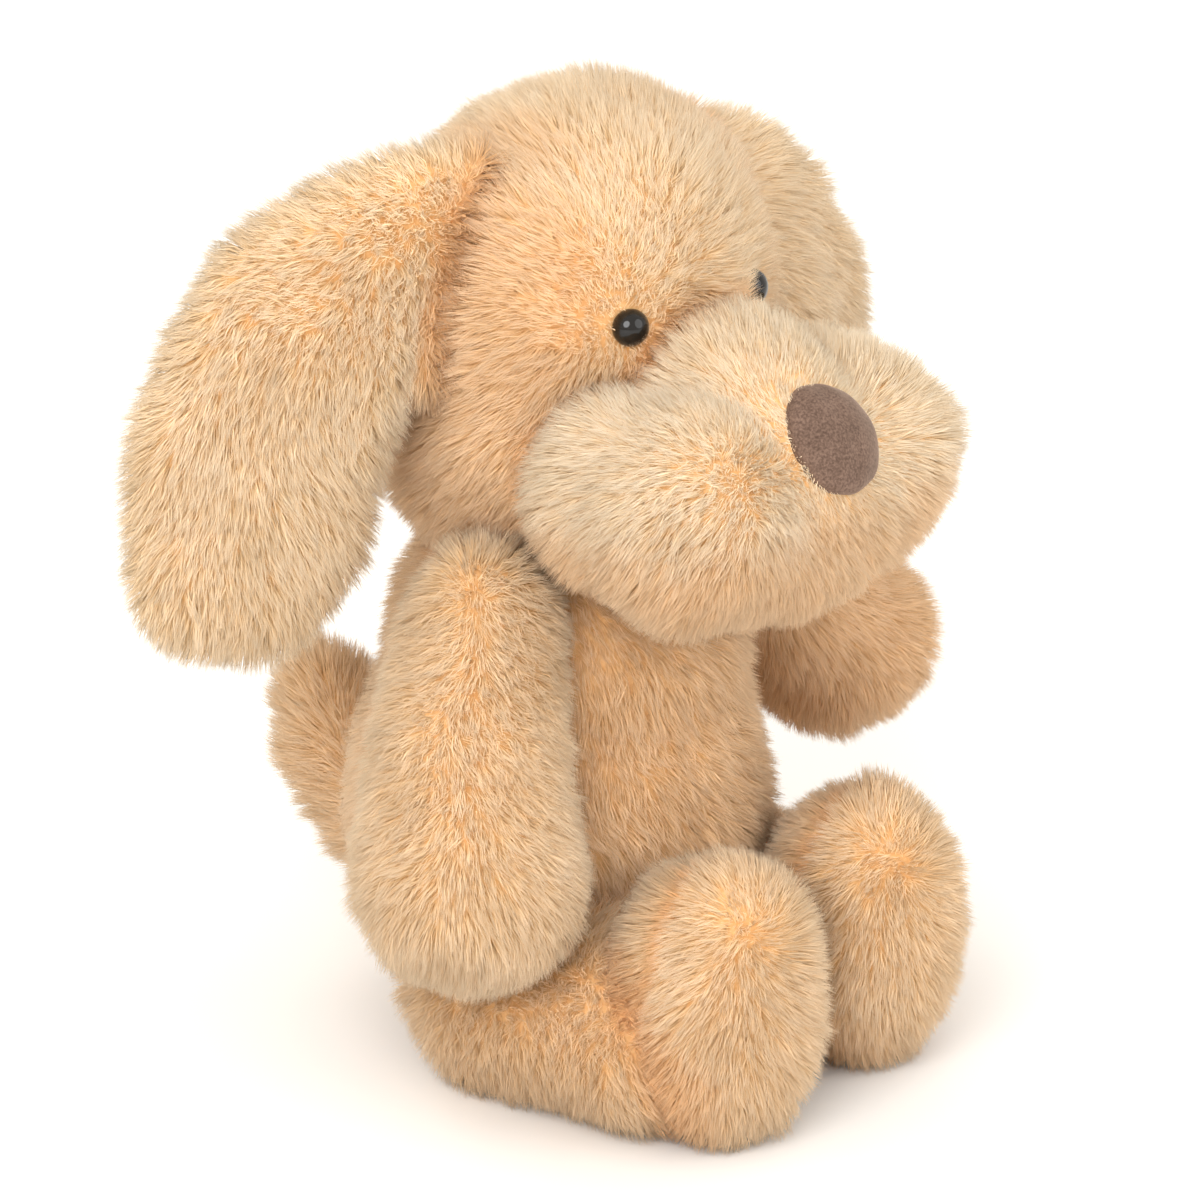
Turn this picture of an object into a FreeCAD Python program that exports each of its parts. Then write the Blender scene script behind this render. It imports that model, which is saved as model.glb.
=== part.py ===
"""Sitting plush dog: fabric covers over stuffing, with a sewn-on head, ears, arms, legs and tail.

Millimetres. +Z is up, the dog looks along -Y, and its left side is +X. The origin is the centre
of the flat patch that the body sits on. Every soft form is a cover shell with its stuffing
inside. The pile of the fabric isn't modelled here: these are the woven backing's surfaces.
"""
import FreeCAD, Part

import math
import os

from FreeCAD import Matrix, Placement, Rotation, Vector

# Fabric and fits
COVER = 1.5              # thickness of a cover
EAR_COVER = 1.2          # thickness of an ear's cover
FILL_GAP = 0.25          # between a cover and its stuffing
HIP_GAP = 0.6            # around a leg's root in its pocket
EAR_GAP = 1.5            # around an ear's root in its groove
NECK_GAP = 1.6           # between the body's ball and the head's hollow
THREAD_R = 0.5
LARGE = 1200.0           # side of a cutting block

# Body: a chest ball on a wide seat
NECK = Vector(0, -3, 112)
CHEST_R = 45.0
SEAT_CENTRE = (0, 0, 64)
SEAT_RADII = (53, 54, 66)
NECK_SEAM_RISE = 31.5    # of the neck's seam above the chest ball's centre

# Bag of pellets in the seat
BAG_CENTRE = (0, 17, 34)
BAG_RADII = (24, 20, 18)
BAG_CLOTH = 0.8

# Head: crown and jaw, as (centre, radii)
CROWN = ((0, -7, 213), (53, 43, 51))
JAW = ((0, -3, 180), (49, 44, 48))

# Muzzle: bridge, front, chin and one cheek (mirrored)
BRIDGE = ((0, -59, 190), (24, 27, 21))
FRONT_CENTRE = Vector(0, -73, 173.5)
FRONT_R = 26.0
CHIN = ((0, -69, 158), (28, 27, 20))
CHEEK = ((30, -69, 170), (26, 28, 27))

# Nose patch: a cap on the muzzle's front ball
NOSE_TILT = 34.0         # degrees up from straight ahead
NOSE_R = 15.5
NOSE_THICK = 2.4

# Eyes: domes on shanks, with a washer behind the cover
EYE_X = 24.8
EYE_Z = 213.5
EYE_R = 5.4
EYE_SINK = 0.6           # of the dome's centre below the cover's surface
SHANK_R = 1.6
SHANK_LENGTH = 9.0
WASHER_R = 5.5
WASHER_THICK = 1.2
WASHER_DEPTH = 2.4       # of the washer's outer face below the cover's surface

# Ears: a flat lobe that leaves the head along a seam, then droops. The left one hangs lower.
# Stations: distance out, height, direction's angle above level, half width, half thickness
EAR_BASE = Vector(50, -1, 0)
EAR_SEAM_LOW = (4.3, 202)
EAR_SEAM_HIGH = (-3.2, 242)
EAR_ROOT_R = 7.5
EAR_STATIONS = {
    "left": (
        (1, 218, 4, 23, 6.0),
        (17, 213, -18, 29, 9.5),
        (34, 198, -48, 31, 10.5),
        (46, 180, -68, 31, 10.5),
        (52, 161, -81, 29, 9.5),
        (54, 146, -87, 21, 7.0),
    ),
    "right": (
        (1, 222, 10.6, 24, 6.0),
        (18, 222, -8, 31, 9.5),
        (36, 208, -42, 33, 10.5),
        (47, 186, -66, 32, 10.5),
        (52, 163, -80, 30, 9.5),
        (54, 147, -87, 22, 7.0),
    ),
}
EAR_TIP = (55, 136)
EAR_SWEEP = {"left": 3.0, "right": 26.0}     # degrees back from straight out

# Arms: (centre, radius) of the balls that each arm's skin wraps, from shoulder to paw
ARMS = {
    "left": (((54, -20, 137.5), 16), ((80, -14, 112), 20), ((103, -15, 88), 23.5)),
    "right": (((-54, -20, 137.5), 16), ((-69, -27, 106), 20.5), ((-76.5, -34, 74), 26)),
}

# Legs: one side, mirrored; the feet are upright pods against the legs' ends
HIP = (39, -18, 27.3)
LEG_R = 27.0
LEG_END = (36, -66, 27.3)
LEG_END_R = 26.0
FOOT_X = 33.0
FOOT_Y = {"left": -83.0, "right": -86.0}
FOOT_Z = 38.5
FOOT_RADII = (25, 20, 38)
LEG_LIFT = (0, 10, 20)   # degrees, lifts that each hip's pocket clears
POCKET_REACH = 60.0

# Tail: (centre, radius) of the balls that its skin wraps, from root to tip
TAIL = (((0, 62, 37), 11.5), ((0, 81, 62), 14), ((0, 88, 75), 11))

SIDES = {"left": 1, "right": -1}


def ball(centre, radius):
    """Sphere with its poles along X, so that the middle plane cuts it cleanly."""
    return Part.makeSphere(radius, Vector(*centre), Vector(1, 0, 0))


def ellipsoid(centre, radii):
    """Sphere stretched to three radii, with its poles along X."""
    unit = 10.0
    stretch = Matrix()
    stretch.scale(radii[0] / unit, radii[1] / unit, radii[2] / unit)
    solid = ball((0, 0, 0), unit).transformGeometry(stretch)
    solid.translate(Vector(*centre))
    return solid


def pod(shape, inset=0.0):
    """Ellipsoid of a (centre, radii) pair, drawn in by inset."""
    centre, radii = shape
    return ellipsoid(centre, [radius - inset for radius in radii])


def joined(solids):
    """One solid out of several that overlap."""
    whole = solids[0].fuse(list(solids[1:]))
    return whole.removeSplitter()


def tangent_cone(first, second):
    """Wall of the skin stretched over two (centre, radius) balls."""
    (centre_a, radius_a), (centre_b, radius_b) = first, second
    run = Vector(*centre_b) - Vector(*centre_a)
    lean = (radius_a - radius_b) / run.Length
    across = math.sqrt(1 - lean * lean)
    way = Vector(run)
    way.normalize()
    start = Vector(*centre_a) + way * (radius_a * lean)
    length = run.Length - (radius_a - radius_b) * lean
    if radius_a == radius_b:
        return Part.makeCylinder(radius_a, length, start, way)
    return Part.makeCone(radius_a * across, radius_b * across, length, start, way)


def limb(balls, inset=0.0):
    """Skin stretched over a chain of (centre, radius) balls, drawn in by inset."""
    drawn_in = [(Vector(*centre), radius - inset) for centre, radius in balls]
    along = drawn_in[-1][0] - drawn_in[0][0]
    rounds = [Part.makeSphere(radius, centre, along) for centre, radius in drawn_in]
    walls = [tangent_cone(a, b) for a, b in zip(drawn_in, drawn_in[1:])]
    return joined(rounds + walls)


def half_space(point, normal):
    """Large block on the side of a plane that its normal points to."""
    corner = Placement(Vector(-LARGE / 2, -LARGE / 2, 0), Rotation())
    block = Part.makeBox(LARGE, LARGE, LARGE)
    block.Placement = Placement(Vector(*point), Rotation(Vector(0, 0, 1), Vector(*normal))) * corner
    return block


def split(shell, point, normal):
    """The two parts of a shell on either side of a plane: the normal's side first."""
    near = shell.common(half_space(point, normal))
    far = shell.cut(half_space(point, normal))
    return near, far


def save(name, solid):
    """One valid solid per file."""
    solids = solid.Solids
    if len(solids) != 1:
        solids = sorted(solids, key=lambda piece: piece.Volume, reverse=True)
        print("note", name, "kept the largest of", [round(piece.Volume, 2) for piece in solids])
    piece = solids[0]
    print(name, "valid" if piece.isValid() else "INVALID", round(piece.Volume))
    piece.exportStep("parts/" + name + ".step")


# Body

def body_form(inset=0.0):
    """Chest ball and seat, with a flat patch at the floor."""
    whole = joined([ball(NECK, CHEST_R - inset), pod((SEAT_CENTRE, SEAT_RADII), inset)])
    return whole.common(half_space((0, 0, inset), (0, 0, 1)))


def hip_pocket(side):
    """Room for a leg's root, over the leg's whole lift."""
    hip, end = [Vector(*centre) for centre, _ in leg_balls(side)]
    radius = LEG_R + HIP_GAP
    shapes = [ball(hip, radius)]
    for lift in LEG_LIFT:
        way = Rotation(Vector(-1, 0, 0), lift).multVec(end - hip)
        shapes.append(Part.makeCylinder(radius, POCKET_REACH, hip, way))
    return joined(shapes)


def make_body():
    """Front and back covers, stuffing, and a bag of pellets in the seat."""
    pockets = [hip_pocket(side) for side in SIDES]
    shell = body_form().cut(body_form(COVER)).cut(pockets)
    front, back = split(shell, (0, 0, 0), (0, -1, 0))
    bag = pod((BAG_CENTRE, BAG_RADII))
    stuffing = body_form(COVER + FILL_GAP).cut(pockets + [pod((BAG_CENTRE, BAG_RADII), -FILL_GAP)])
    save("body_front", front)
    save("body_back", back)
    save("body_stuffing", stuffing)
    save("pellet_bag", bag.cut(pod((BAG_CENTRE, BAG_RADII), BAG_CLOTH)))
    save("pellets", pod((BAG_CENTRE, BAG_RADII), BAG_CLOTH + FILL_GAP))


def make_neck_thread():
    """Closing stitch: a ring in the gap between the body's ball and the head's hollow."""
    reach = CHEST_R + NECK_GAP / 2
    radius = math.sqrt(reach ** 2 - NECK_SEAM_RISE ** 2)
    save("neck_thread", Part.makeTorus(radius, THREAD_R, NECK + Vector(0, 0, NECK_SEAM_RISE)))


# Head

def head_form(inset=0.0):
    """Crown and jaw as one form."""
    return joined([pod(CROWN, inset), pod(JAW, inset)])


def muzzle_form(inset=0.0):
    """Bridge, front ball, chin and two cheeks as one form."""
    (cheek_x, cheek_y, cheek_z), radii = CHEEK
    cheeks = [pod(((sign * cheek_x, cheek_y, cheek_z), radii), inset) for sign in SIDES.values()]
    front = ball(FRONT_CENTRE, FRONT_R - inset)
    return joined([pod(BRIDGE, inset), front, pod(CHIN, inset)] + cheeks)


def crown_normal(x, z):
    """A point on the front of the crown, and the way its surface faces there."""
    centre, radii = CROWN
    across = (x - centre[0]) / radii[0]
    up = (z - centre[2]) / radii[2]
    ahead = -math.sqrt(1 - across ** 2 - up ** 2)
    point = Vector(x, centre[1] + ahead * radii[1], z)
    normal = Vector(across / radii[0], ahead / radii[1], up / radii[2])
    normal.normalize()
    return point, normal


def make_eye(side, head):
    """Dome with a shank, and its washer. Returns the rooms they need in cover and stuffing."""
    point, normal = crown_normal(SIDES[side] * EYE_X, EYE_Z)
    inward = normal * -1
    centre = point + inward * EYE_SINK
    shank = Part.makeCylinder(SHANK_R, SHANK_LENGTH, point + normal * SHANK_R, inward)
    dome = ball(centre, EYE_R).cut(head)
    save("eye_" + side, joined([dome, shank]))
    washer = Part.makeCylinder(WASHER_R, WASHER_THICK, point + inward * WASHER_DEPTH, inward)
    bore = Part.makeCylinder(SHANK_R + FILL_GAP, LARGE, point + normal * EYE_R, inward)
    save("eye_washer_" + side, washer.cut(bore))
    hole = Part.makeCylinder(SHANK_R + FILL_GAP, SHANK_LENGTH + FILL_GAP, point + normal, inward)
    room = Part.makeCylinder(WASHER_R + FILL_GAP, 2 * WASHER_THICK + 2, point, inward)
    return hole, room


def make_head():
    """Covers, stuffing, eyes, muzzle and nose."""
    head = head_form()
    hollow = ball(NECK, CHEST_R + NECK_GAP)
    rooms = [hollow] + [ear_root(side, EAR_GAP) for side in SIDES]
    eyes = [make_eye(side, head) for side in SIDES]
    holes = [hole for hole, room in eyes]
    shell = head.cut(head_form(COVER)).cut(rooms + holes)
    left, right = split(shell, (0, 0, 0), (1, 0, 0))
    washer_rooms = [room for hole, room in eyes]
    save("head_cover_left", left)
    save("head_cover_right", right)
    stuffing = head_form(COVER + FILL_GAP)
    for room in rooms + holes + washer_rooms:
        stuffing = stuffing.cut(room)
    save("head_stuffing", stuffing)
    muzzle_shell = muzzle_form().cut([muzzle_form(COVER), head])
    left, right = split(muzzle_shell, (0, 0, 0), (1, 0, 0))
    save("muzzle_cover_left", left)
    save("muzzle_cover_right", right)
    save("muzzle_stuffing", muzzle_form(COVER + FILL_GAP).cut(head))


def make_nose():
    """Round patch that lies on the front of the muzzle."""
    tilt = math.radians(NOSE_TILT)
    way = Vector(0, -math.cos(tilt), math.sin(tilt))
    cap = ball(FRONT_CENTRE, FRONT_R + NOSE_THICK)
    disc = Part.makeCylinder(NOSE_R, 2 * FRONT_R, FRONT_CENTRE, way)
    save("nose_patch", cap.common(disc).cut(muzzle_form()))


# Ears

def ear_frame(side):
    """Unit vectors of an ear: outward, across its thickness, and its base point."""
    sign = SIDES[side]
    sweep = math.radians(EAR_SWEEP[side])
    out = Vector(sign * math.cos(sweep), math.sin(sweep), 0)
    across = Vector(-sign * math.sin(sweep), math.cos(sweep), 0)
    base = Vector(sign * EAR_BASE.x, EAR_BASE.y, 0)
    return out, across, base


def ear_point(side, reach, height):
    """Point in an ear's own plane."""
    out, _, base = ear_frame(side)
    return base + out * reach + Vector(0, 0, height)


def ear_root(side, grow=0.0):
    """Rounded bar along the seam, which the ear turns about."""
    low = (ear_point(side, *EAR_SEAM_LOW), EAR_ROOT_R + grow)
    high = (ear_point(side, *EAR_SEAM_HIGH), EAR_ROOT_R + grow)
    return limb((low, high))


def ear_section(side, station, inset):
    """Oval across the ear at one station."""
    reach, height, slope, half_width, half_thick = station
    out, across, _ = ear_frame(side)
    angle = math.radians(slope)
    up = out * -math.sin(angle) + Vector(0, 0, math.cos(angle))
    ahead = out * math.cos(angle) + Vector(0, 0, math.sin(angle))
    oval = Part.Ellipse(Vector(), half_width - inset, half_thick - inset)
    wire = Part.Wire(oval.toShape())
    wire.Placement = Placement(ear_point(side, reach, height), Rotation(up, across, ahead, "XYZ"))
    return wire


def ear_form(side, inset=0.0):
    """Lobe through the stations, on the rounded bar of its root."""
    sections = [ear_section(side, station, inset) for station in EAR_STATIONS[side]]
    tip = Part.Vertex(ear_point(side, EAR_TIP[0], EAR_TIP[1] + inset))
    lobe = Part.makeLoft(sections + [tip], True)
    if inset:
        return lobe
    return joined([lobe, ear_root(side)])


def ear_front_block(side):
    """Block that holds the front half of an ear."""
    _, across, base = ear_frame(side)
    return half_space(base, across * -1)


def make_ear(side):
    """Front and back covers with a thin filling."""
    shell = ear_form(side).cut(ear_form(side, EAR_COVER))
    block = ear_front_block(side)
    save("ear_" + side + "_front", shell.common(block))
    save("ear_" + side + "_back", shell.cut(block))
    save("ear_" + side + "_stuffing", ear_form(side, EAR_COVER + FILL_GAP))


# Arms, legs and tail

def make_arm(side):
    """Outer and inner covers, parted along the arm's length, with stuffing."""
    balls = ARMS[side]
    shoulder = Vector(*balls[0][0])
    along = Vector(*balls[-1][0]) - shoulder
    outward = along.cross(Vector(0, SIDES[side], 0))
    outward = outward if outward.x * SIDES[side] > 0 else outward * -1
    shell = limb(balls).cut(limb(balls, COVER))
    outer, inner = split(shell, shoulder, outward)
    save("arm_" + side + "_outer", outer)
    save("arm_" + side + "_inner", inner)
    save("arm_" + side + "_stuffing", limb(balls, COVER + FILL_GAP))


def leg_balls(side):
    """Balls that one leg's skin wraps."""
    sign = SIDES[side]
    hip = ((sign * HIP[0], HIP[1], HIP[2]), LEG_R)
    end = ((sign * LEG_END[0], LEG_END[1], LEG_END[2]), LEG_END_R)
    return hip, end


def make_leg(side):
    """Leg and foot: top and bottom covers, an upper and a sole, each with stuffing."""
    balls = leg_balls(side)
    centre = (SIDES[side] * FOOT_X, FOOT_Y[side], FOOT_Z)
    foot = pod((centre, FOOT_RADII))
    leg_shell = limb(balls).cut([limb(balls, COVER), foot])
    top, bottom = split(leg_shell, balls[0][0], (0, 0, 1))
    save("leg_" + side + "_top", top)
    save("leg_" + side + "_bottom", bottom)
    save("leg_" + side + "_stuffing", limb(balls, COVER + FILL_GAP).cut(foot))
    foot_shell = foot.cut(pod((centre, FOOT_RADII), COVER))
    sole, upper = split(foot_shell, centre, (0, -1, 0))
    save("foot_" + side + "_sole", sole)
    save("foot_" + side + "_upper", upper)
    save("foot_" + side + "_stuffing", pod((centre, FOOT_RADII), COVER + FILL_GAP))


def make_tail():
    """Upper and lower covers with stuffing."""
    shell = limb(TAIL).cut(limb(TAIL, COVER))
    root = Vector(*TAIL[0][0])
    along = Vector(*TAIL[1][0]) - root
    upper, lower = split(shell, root, along.cross(Vector(-1, 0, 0)))
    save("tail_upper", upper)
    save("tail_lower", lower)
    save("tail_stuffing", limb(TAIL, COVER + FILL_GAP))


def main():
    """Every piece of the toy."""
    os.makedirs("parts", exist_ok=True)
    make_body()
    make_neck_thread()
    make_head()
    make_nose()
    for side in SIDES:
        make_ear(side)
        make_arm(side)
        make_leg(side)
    make_tail()


main()
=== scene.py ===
"""Looks of a sitting plush dog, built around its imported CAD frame.

The shapes below are in millimetres, in the CAD's own frame, and repeat the fabric backing's
forms. Each becomes a stuffed skin, and real strands of pile grow on it.
"""

import math

import bmesh
import bpy
import numpy as np
from mathutils import Matrix, Vector
from mathutils.kdtree import KDTree


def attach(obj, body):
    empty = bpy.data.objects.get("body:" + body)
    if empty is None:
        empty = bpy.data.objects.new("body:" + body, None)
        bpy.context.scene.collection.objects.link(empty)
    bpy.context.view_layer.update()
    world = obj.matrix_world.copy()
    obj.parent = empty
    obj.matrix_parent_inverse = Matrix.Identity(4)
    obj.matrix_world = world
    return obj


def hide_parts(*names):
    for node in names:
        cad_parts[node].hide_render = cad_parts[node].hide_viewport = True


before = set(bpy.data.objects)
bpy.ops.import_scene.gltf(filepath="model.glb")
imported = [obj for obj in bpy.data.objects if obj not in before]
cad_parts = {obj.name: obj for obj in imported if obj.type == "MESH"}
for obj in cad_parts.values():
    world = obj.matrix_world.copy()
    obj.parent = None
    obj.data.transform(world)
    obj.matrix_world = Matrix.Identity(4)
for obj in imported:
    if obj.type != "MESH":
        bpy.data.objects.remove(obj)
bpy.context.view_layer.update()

MM = 0.001
UP = np.array((0, 0, 1.0))
SIDES = {"left": 1, "right": -1}
scene = bpy.context.scene

# Camera: the target in the object, the direction it is seen from, and the lens
TARGET = Vector((0.0, -0.0144, 0.1255))
AZIMUTH, ELEVATION = -50.0, 19.0
DISTANCE = 1.5
LENS = 166.5

# Light: (name, place, size in metres, watts)
LAMPS = (
    ("key", (-1.55, -0.75, 1.15), 1.3, 27.0),
    ("fill", (0.4, -1.8, 0.9), 1.6, 11.0),
    ("back", (0.7, 1.3, 1.4), 1.2, 5.0),
)
LAMP_AIM = Vector((0, -0.01, 0.12))
LAMP_COLOUR = (0.97, 0.985, 1.0)
WORLD_COLOUR = (1.0, 0.95, 0.875, 1)
WORLD_STRENGTH = 1.06

# Forms of the backing, as (centre, radii) or chains of (centre, radius)
NECK = (0, -3, 112)
BODY = [(NECK, (45, 45, 45)), ((0, 0, 64), (53, 54, 66))]
HEAD = [((0, -7, 213), (53, 43, 51)), ((0, -3, 180), (49, 44, 48))]
MUZZLE = [
    ((0, -59, 190), (24, 27, 21)),
    ((0, -73, 173.5), (26, 26, 26)),
    ((0, -69, 158), (28, 27, 20)),
    ((33, -69, 170), (27, 28, 27)),
    ((-30, -69, 170), (26, 28, 27)),
    ((0, -68, 168), (46, 30.5, 23)),
    ((36, -50, 172), (17, 22, 23)),
    ((-36, -50, 172), (17, 22, 23)),
    ((16, -75, 165), (19, 22, 23)),
    ((-16, -75, 165), (19, 22, 23)),
]
ARMS = {
    "left": (((54, -20, 137.5), 16), ((80, -14, 112), 20), ((103, -15, 88), 23.5)),
    "right": (((-54, -20, 137.5), 16), ((-69, -27, 106), 20.5), ((-76.5, -34, 74), 26)),
}
LEGS = {
    side: (((sign * 39, -18, 27.3), 27), ((sign * 36, -66, 27.3), 26))
    for side, sign in SIDES.items()
}
FEET = {
    "left": [((33, -83, 38.5), (25, 20, 38)), ((33, -77, 44), (24, 21, 30))],
    "right": [((-33, -86, 38.5), (25, 20, 38)), ((-33, -80, 44), (24, 21, 30))],
}
TAIL = (((0, 62, 37), 11.5), ((0, 81, 62), 14), ((0, 88, 75), 11))
SOLE_SEAM = 6             # behind the middle of the foot

# Ears: stations of (reach, height, slope, half width, half thickness) in the ear's own plane
EAR_BASE = (50, -1)
EAR_ROOT = (((4.3, 202), 7.5), ((-3.2, 242), 7.5))
EAR_STATIONS = {
    "left": np.array((
        (-4, 226, 14, 23, 6.0),
        (3, 222, 4, 26, 7.0),
        (17, 214, -18, 30, 9.5),
        (34, 199, -48, 32, 10.5),
        (46, 181, -68, 32, 10.5),
        (52, 161, -81, 30, 10.0),
        (55, 144, -87, 23, 8.0),
        (56, 135, -88, 12, 4.5),
    )),
    "right": np.array((
        (-5, 234, 22, 26, 6.5),
        (2, 230, 14, 28, 7.0),
        (10, 227, 2, 31, 8.5),
        (20, 222, -10, 32, 10.0),
        (37, 208, -42, 34, 11.0),
        (49, 185, -66, 33, 11.0),
        (55, 161, -80, 31, 10.5),
        (57.5, 143, -87, 24, 8.5),
        (58, 133, -88, 13, 5.0),
    )),
}
EAR_SWEEP = {"left": 3.0, "right": 26.0}

# Nose and eyes
NOSE_BALL = np.array((0, -73, 173.5))
NOSE_TILT = math.radians(34)
NOSE_AXIS = np.array((0, -math.cos(NOSE_TILT), math.sin(NOSE_TILT)))
NOSE_CENTRE = NOSE_BALL + NOSE_AXIS * 27
NOSE_BALL_R = 26.0
NOSE_R = 15.5
NOSE_RISE = 4.75
NOSE_PROFILE = (          # rings, as (share of the nose's radius, height over the ball)
    (0.3, 4.7), (0.55, 4.55), (0.75, 4.2), (0.9, 3.5), (0.98, 2.3), (1.0, 1.0), (0.94, -1.2),
)
EYE_X, EYE_Z, EYE_R = 24.8, 213.5, 5.0
EYE_FLATTEN, EYE_OUT = 0.86, 0.9

# Skins: how they are grown, blown up and laid on the floor
SKIN_VOXEL = 4.0
SKIN_RELAX = 5            # rounds of smoothing after the forms are welded
SKIN_SPARE = 0.3          # how far a skin stands outside its forms before it swells
CLOTH_PRESSURE = 4
CLOTH_FRAMES = 20
LUMP_WAVE, LUMP_HEIGHT = 34, 0.8
SKIN_FLOOR, STRAND_FLOOR = 0.35, 0.15

# Pile: faces of one strand by its number of rings, and the most faces in one piece
STRAND_FACES = {1: 4, 2: 10}
PIECE_FACES = 198000
PILE_SINK = 0.8
BENT_SHARE = 0.2
SPOKE_SHADING = 0.14      # of each strand's own roundness in its shading
TUFT_SHADING = 0.14       # of each tuft's roundness, per millimetre from its middle
TONE_RANGE = 0.07         # how far brightness differs from strand to strand
FOLD_SHADE_SHARE = 0.75         # of the painted shade colour in the deepest folds
STRAND_WIDTH = 0.15
LEAN_LOW, LEAN_HIGH = 16, 46    # degrees from upright, of a strand's lower and upper half
GATHER = 0.22             # how far the tips of a tuft draw together
CLUMP_SIZE = 15           # strands in a tuft
BURIED = -4               # strands deeper than this inside another form are left out
FOLD_SHADE_REACH = 13           # how far the painted shade of folds reaches
CREASE_WIDTH = 3.2

# Least depth of painted shade on the arms, deeper on the left arm, which lies in shade
ARM_PAINTED_SHADE = {"left": 0.5, "right": 0.15}

# Length in millimetres and strands per square millimetre
PILE = {
    "body": (9.8, 2.5),
    "head": (9.8, 3.6),
    "muzzle": (9.5, 3.9),
    "ear": (10.5, 3.5),
    "arm": (9.8, 3.6),
    "leg": (9.5, 2.9),
    "foot": (8.8, 3.5),
    "tail": (10.5, 3.2),
}


def spans(balls, steps=10):
    """Balls along a chain, close enough together for one smooth skin."""
    found = []
    for (a, ra), (b, rb) in zip(balls, balls[1:]):
        for t in np.linspace(0, 1, steps + 1):
            centre = np.array(a) * (1 - t) + np.array(b) * t
            radius = ra * (1 - t) + rb * t
            found.append((tuple(centre), (radius,) * 3))
    return found


# Numbers

def smooth(t):
    """Eased step from 0 to 1."""
    t = np.clip(t, 0, 1)
    return t * t * (3 - 2 * t)


def unit(v):
    """Rows scaled to length 1."""
    return v / np.maximum(np.linalg.norm(v, axis=-1, keepdims=True), 1e-9)


def waves(points, wavelength, seed, count=7):
    """Smooth noise from -1 to 1 with about that wavelength, the same on every run."""
    rng = np.random.default_rng(seed)
    total = np.zeros(len(points))
    for _ in range(count):
        way = unit(rng.normal(size=3)) * (2 * math.pi / wavelength) * rng.uniform(0.6, 1.5)
        total += np.sin(points @ way + rng.uniform(0, 2 * math.pi))
    return total / math.sqrt(count)


def clearance(points, forms):
    """Rough distance outside the nearest form, negative inside."""
    nearest = np.full(len(points), 1e3)
    for centre, radii in forms:
        local = (points - np.array(centre)) / np.array(radii)
        size = np.maximum(np.linalg.norm(local, axis=1), 1e-6)
        slope = np.linalg.norm(local / np.array(radii), axis=1)
        nearest = np.minimum(nearest, (size - 1) * size / np.maximum(slope, 1e-9))
    return nearest


# Meshes

def link(name, mesh):
    """New object with a mesh."""
    obj = bpy.data.objects.new(name, mesh)
    scene.collection.objects.link(obj)
    return obj


def places(mesh):
    """Vertex positions in millimetres."""
    flat = np.zeros(len(mesh.vertices) * 3)
    mesh.vertices.foreach_get("co", flat)
    return flat.reshape(-1, 3) / MM


def set_places(mesh, points):
    """Vertex positions from millimetres."""
    mesh.vertices.foreach_set("co", (points * MM).ravel())
    mesh.update()


def directions(mesh):
    """Vertex normals."""
    flat = np.zeros(len(mesh.vertices) * 3)
    mesh.vertices.foreach_get("normal", flat)
    return flat.reshape(-1, 3)


def baked(obj):
    """Applies an object's modifiers to its mesh."""
    graph = bpy.context.evaluated_depsgraph_get()
    mesh = bpy.data.meshes.new_from_object(obj.evaluated_get(graph))
    obj.modifiers.clear()
    old = obj.data
    obj.data = mesh
    bpy.data.meshes.remove(old)
    return obj


def welded(name, bm, voxel, rounds):
    """One closed skin around everything in a bmesh, smoothed."""
    mesh = bpy.data.meshes.new(name)
    bm.to_mesh(mesh)
    bm.free()
    obj = link(name, mesh)
    remesh = obj.modifiers.new("weld", "REMESH")
    remesh.mode = "VOXEL"
    remesh.voxel_size = voxel * MM
    relax = obj.modifiers.new("relax", "SMOOTH")
    relax.factor = 0.5
    relax.iterations = rounds
    return baked(obj)


def skin_of(name, forms, voxel=SKIN_VOXEL):
    """Skin around a set of forms."""
    bm = bmesh.new()
    for centre, radii in forms:
        size = Matrix.Diagonal([(radius + SKIN_SPARE) * MM for radius in radii]).to_4x4()
        place = Matrix.Translation(Vector(centre) * MM) @ size
        bmesh.ops.create_icosphere(bm, subdivisions=4, radius=1.0, matrix=place)
    return welded(name, bm, voxel, SKIN_RELAX)


def swell(obj, cap):
    """Blows a skin up with Cloth, keeping each point within cap of where it started."""
    start = places(obj.data)
    cloth = obj.modifiers.new("stuffing", "CLOTH")
    cloth.settings.use_pressure = True
    cloth.settings.uniform_pressure_force = CLOTH_PRESSURE
    cloth.settings.effector_weights.gravity = 0
    for number in range(1, CLOTH_FRAMES + 1):
        scene.frame_set(number)
    graph = bpy.context.evaluated_depsgraph_get()
    mesh = obj.evaluated_get(graph).to_mesh()
    moved = places(mesh) - start
    obj.evaluated_get(graph).to_mesh_clear()
    obj.modifiers.clear()
    scene.frame_set(1)
    reach = np.linalg.norm(moved, axis=1, keepdims=True)
    set_places(obj.data, start + moved * np.minimum(1, cap / np.maximum(reach, 1e-9)))


def set_above_floor(mesh, points):
    """Vertex positions, with none below the floor."""
    points[:, 2] = np.maximum(points[:, 2], SKIN_FLOOR)
    set_places(mesh, points)


def subdivided(obj, levels):
    """Applies a subdivision surface."""
    fine = obj.modifiers.new("fine", "SUBSURF")
    fine.levels = fine.render_levels = levels
    return baked(obj)


def finish_skin(obj, seed):
    """Gives the stuffing soft lumps, rests it on the floor and subdivides it."""
    points = places(obj.data)
    points += directions(obj.data) * (waves(points, LUMP_WAVE, seed) * LUMP_HEIGHT)[:, None]
    set_above_floor(obj.data, points)
    subdivided(obj, 1)
    set_above_floor(obj.data, places(obj.data))
    obj.data.shade_smooth()


def dip(obj, distance, width, depth):
    """Pulls a seam in. distance(points) is how far each point is from the seam."""
    points = places(obj.data)
    pull = depth * np.exp(-(distance(points) / width) ** 2)
    set_places(obj.data, points - directions(obj.data) * pull[:, None])


# Ears

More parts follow.
